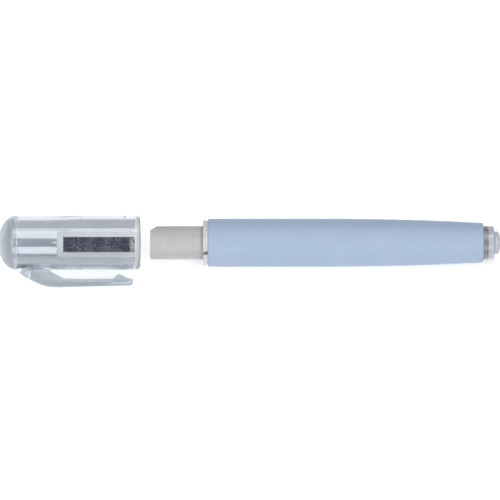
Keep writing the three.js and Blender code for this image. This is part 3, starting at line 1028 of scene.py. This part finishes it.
def make_tube(material):
    """The blind tube behind the fingers, and its stem."""
    corners = [
        (TUBE_FRONT, TUBE_BORE, 0.08),
        (TUBE_FRONT, TUBE_RADIUS, 0.1),
        (TUBE_BODY_END, TUBE_RADIUS, 0.6),
        (TUBE_NECK_END, STEM_RADIUS, 0.6),
        (STEM_END, STEM_RADIUS, 0.2),
        (STEM_END, 0, 0),
    ]
    profile = rounded([(TUBE_FRONT + 1, TUBE_BORE, 0), *corners])
    bore = rounded(
        [(TUBE_BORE_END, 0, 0), (TUBE_BORE_END, TUBE_BORE, 0.3), (TUBE_FRONT + 1, TUBE_BORE, 0)]
    )
    bm = revolve([*bore, *profile[1:]], sides=96)
    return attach(finished("chuck_sleeve", bm, material, ["chuck_tube"]), "chuck")


def make_button(material):
    """The smoky push button, with the socket for its plug."""
    socket = FLANGE_RADIUS + FIT
    hole = STEM_RADIUS + FIT
    length, depth = BUTTON_CHAMFER
    corners = [
        (STEM_END + FIT, 0, 0),
        (STEM_END + FIT, hole, 0.1),
        (BUTTON_FRONT, hole, 0.1),
        (BUTTON_FRONT, BUTTON_RADIUS, 0.2),
        (BUTTON_REAR - length, BUTTON_RADIUS, 0.15),
        (BUTTON_REAR, BUTTON_RADIUS - depth, 0.06),
        (BUTTON_REAR, socket, 0.03),
        (SOCKET_START, socket, 0.1),
        (SOCKET_START, 0, 0),
    ]
    bm = revolve(rounded(corners))
    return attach(finished("push_button", bm, material, ["tail_button"]), "chuck")


def make_plug(material):
    """The pale plug: a flange in the button's socket, and the round boss behind it."""
    front = SOCKET_START + FIT
    fall = BOSS_RADIUS - BOSS_FLAT_RADIUS
    dome = []
    for i in range(1, 13):
        angle = math.radians(90 * i / 12)
        x = PLUG_END - BOSS_DOME_LENGTH * (1 - math.sin(angle))
        dome.append((x, BOSS_FLAT_RADIUS + fall * math.cos(angle), 0))
    corners = [
        (front, 0, 0),
        (front, FLANGE_RADIUS, 0.25),
        (BUTTON_REAR, FLANGE_RADIUS, 0.05),
        (BUTTON_REAR + FIT, BOSS_RADIUS, 0.03),
        (PLUG_END - BOSS_DOME_LENGTH, BOSS_RADIUS, 0),
        *dome,
        (PLUG_END, 0, 0),
    ]
    bm = revolve(rounded(corners))
    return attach(finished("button_plug", bm, material, ["tail_plug"]), "chuck")


def make_rod(material):
    """The cleaning rod, its tip worn to a slant on one side."""
    corners = [
        (0, 0, 0),
        (0, ROD_RADIUS, 0.14),
        (ROD_LENGTH, ROD_RADIUS, 0.2),
        (ROD_LENGTH, 0, 0),
    ]
    profile = rounded(corners)
    shank = [p for p in profile if p.x <= 1 or p.x >= ROD_LENGTH - 1]
    cut = next(i for i, p in enumerate(shank) if p.x > 1)
    middle = [Vector((x, ROD_RADIUS)) for x in range(2, int(ROD_LENGTH), 2)]
    bm = revolve([*shank[:cut], *middle, *shank[cut:]])
    normal = Vector((-WEAR_DEPTH, WEAR_LENGTH, 0)).normalized()
    edge = Vector((0, ROD_RADIUS - WEAR_DEPTH, 0))
    geometry = [*bm.verts, *bm.edges, *bm.faces]
    cut_edges = bmesh.ops.bisect_plane(
        bm, geom=geometry, plane_co=edge, plane_no=normal, clear_outer=True
    )["geom_cut"]
    rim = [e for e in cut_edges if isinstance(e, bmesh.types.BMEdge)]
    bmesh.ops.holes_fill(bm, edges=rim)
    bmesh.ops.recalc_face_normals(bm, faces=bm.faces)
    rod = finished("cleaning_stick", bm, material, ["cleaning_rod"], sharp=25)
    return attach(rod, "rod")


# ---- Studio --------------------------------------------------------------------------------


def make_camera():
    """A long lens square to the pen, looking along its pad's direction."""
    data = bpy.data.cameras.new("camera")
    data.sensor_width = SENSOR_WIDTH
    data.lens = SENSOR_WIDTH * CAMERA_DISTANCE / VIEW_WIDTH
    camera = bpy.data.objects.new("camera", data)
    back = Vector((VIEW_CENTRE_X, -VIEW_CENTRE_DROP, CAMERA_DISTANCE / MM))
    camera.location = PEN @ back
    camera.rotation_euler = (ROLL, 0, 0)
    bpy.context.scene.collection.objects.link(camera)
    bpy.context.scene.camera = camera


def make_floor():
    """A wide sheet of white paper under the pen."""
    bm = bmesh.new()
    bmesh.ops.create_grid(bm, x_segments=8, y_segments=8, size=FLOOR_HALF_SIZE)
    mesh = bpy.data.meshes.new("floor")
    bm.to_mesh(mesh)
    bm.free()
    mesh.materials.append(floor_paper())
    floor = bpy.data.objects.new("floor", mesh)
    floor.location = (0, 0, cad_low.z - FLOOR_GAP)
    bpy.context.scene.collection.objects.link(floor)


def area_light(name, place, target, size, energy):
    """A rectangular softbox at a place, facing a target, both in metres."""
    data = bpy.data.lights.new(name, "AREA")
    data.shape = "RECTANGLE"
    data.size, data.size_y = size
    data.energy = energy
    light = bpy.data.objects.new(name, data)
    light.location = place
    aim = Vector(target) - Vector(place)
    light.rotation_euler = aim.to_track_quat("-Z", "Y").to_euler()
    bpy.context.scene.collection.objects.link(light)
    return light


def softbox(name, angle, across, sideways, watts):
    """A softbox a metre from the pen, at an angle from the camera's axis.

    A positive angle leans it away from the clip, or to the tail if it stands sideways."""
    lean = math.radians(angle)
    off, up = LAMP_DISTANCE * math.sin(lean), LAMP_DISTANCE * math.cos(lean)
    middle = PEN @ Vector((VIEW_CENTRE_X, 0, 0))
    spot = (VIEW_CENTRE_X + off, 0, up) if sideways else (VIEW_CENTRE_X, off, up)
    size = (across, across) if sideways else (LAMP_LENGTH, across)
    area_light(name, PEN @ Vector(spot), middle, size, watts)


def make_lights():
    """Soft light from both long sides and both ends, a dim surround, and a plain picture."""
    softbox("upper_wide", 42, 0.84, False, 5.3)
    softbox("upper_strip", 46, 0.14, False, 0.45)
    softbox("lower", -34, 0.56, False, 4.3)
    softbox("cap_side", -22, 0.3, True, 2.6)
    softbox("tail_side", 22, 0.3, True, 2.2)
    world = bpy.data.worlds.new("studio")
    world.use_nodes = True
    background = world.node_tree.nodes["Background"]
    background.inputs["Color"].default_value = (0.97, 0.985, 1.0, 1)
    background.inputs["Strength"].default_value = 0.2
    scene = bpy.context.scene
    scene.world = world
    scene.view_settings.view_transform = "Standard"
    scene.cycles.caustics_refractive = False
    scene.cycles.caustics_reflective = False
    scene.cycles.glossy_bounces = 12
    scene.cycles.transmission_bounces = 16
    scene.cycles.max_bounces = 24


def make_pen():
    """Every piece of the pen."""
    collet = collet_plastic()
    make_cap(clear_plastic("clear_cap_plastic", 0.97))
    make_clip(clear_plastic("clear_clip_plastic", 0.94))
    make_backing(felt_backing())
    make_nap(felt_nap())
    make_barrel(blue_plastic())
    make_bush(bush_plastic())
    make_spring(spring_wire())
    for number in range(1, JAWS + 1):
        make_jaw(number, collet)
    make_tube(collet)
    make_button(smoke_plastic())
    make_plug(plug_plastic())
    make_rod(rod_stock())


make_camera()
make_pen()
make_floor()
make_lights()
